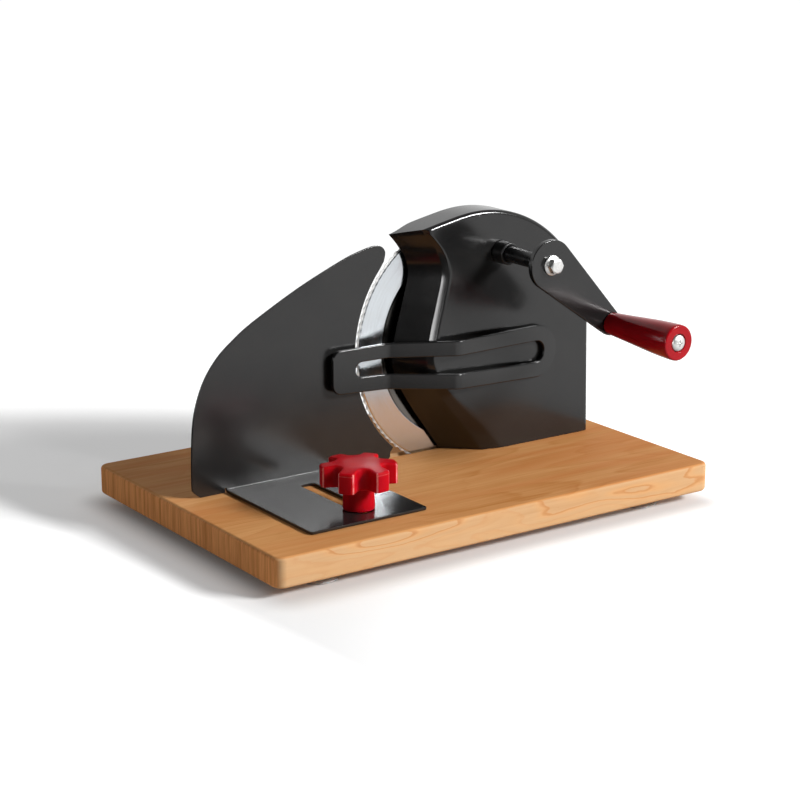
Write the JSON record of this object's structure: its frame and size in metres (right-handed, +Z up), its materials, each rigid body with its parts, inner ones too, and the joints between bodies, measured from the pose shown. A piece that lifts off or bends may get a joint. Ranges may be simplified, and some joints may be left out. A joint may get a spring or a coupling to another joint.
{
  "type": "food slicer",
  "caption": "Hand crank food slicer: serrated round blade in a metal housing on a wooden board, with a slice guard, a sliding fence and a star knob.",
  "frame": {"origin": "centre of the board's underside", "axes": "+X along the board's long side towards the housing's end, -Y towards the crank side, +Z up"},
  "size_m": [0.35, 0.2507, 0.1982],
  "materials": {
    "wood": "oiled, satin",
    "rubber": "matte",
    "black_paint": "satin powder coat",
    "black_steel": "blackened, satin",
    "black_plastic": "matte",
    "red_plastic": "glossy",
    "zinc": "bright zinc plating",
    "stainless": "fine turned brushing",
    "steel": "machined",
    "brass": "machined"
  },
  "bodies": {
    "frame": {"board": "wood", "foot_front_left": "rubber", "foot_front_right": "rubber", "foot_rear_left": "rubber", "foot_rear_right": "rubber", "foot_screw_front_left": "zinc", "foot_screw_front_right": "zinc", "foot_screw_rear_left": "zinc", "foot_screw_rear_right": "zinc", "housing": "black_paint", "housing_screw_left": "zinc", "housing_screw_right": "zinc", "crank_bush": "black_plastic", "blade_axle": "steel", "blade_cap": "zinc", "slice_guard": "black_paint", "guard_screw_upper": "zinc", "guard_screw_lower": "zinc", "clamp_stud": "zinc"},
    "crank": {"crank_shaft": "black_steel", "drive_gear": "steel", "shaft_clip": "steel", "crank_arm": "black_paint", "crank_bolt": "zinc", "handle_pin": "steel", "handle_end_screw": "zinc"},
    "grip": {"handle": "red_plastic"},
    "blade_body": {"blade": "stainless", "blade_gear": "steel", "blade_screw_1": "zinc", "blade_screw_2": "zinc", "blade_screw_3": "zinc"},
    "fence_body": {"fence": "black_paint"},
    "knob_body": {"knob": "red_plastic", "knob_insert": "brass"}
  },
  "joints": [
    {"name": "crank_spin", "type": "hinge", "parent": "frame", "child": "crank", "pos_m": [0.07746, 0, 0.16081], "axis": [0, 1, 0], "continuous": true},
    {"name": "grip_spin", "type": "hinge", "parent": "crank", "child": "grip", "pos_m": [0.13087, -0.09, 0.11372], "axis": [0, 1, 0], "continuous": true},
    {"name": "blade_spin", "type": "hinge", "parent": "frame", "child": "blade_body", "pos_m": [0.0625, 0.0183, 0.0955], "axis": [0, 1, 0], "continuous": true},
    {"name": "fence_slide", "type": "slide", "parent": "frame", "child": "fence_body", "axis": [0, 1, 0], "range_m": [-0.003, 0.006]},
    {"name": "knob_turn", "type": "hinge", "parent": "frame", "child": "knob_body", "pos_m": [-0.0843, -0.0705, 0.03], "axis": [0, 0, 1], "range_deg": [0, 360]}
  ],
  "couplings": [
    {"joint": "blade_spin", "follows": "crank_spin", "ratio": -0.42553}
  ]
}
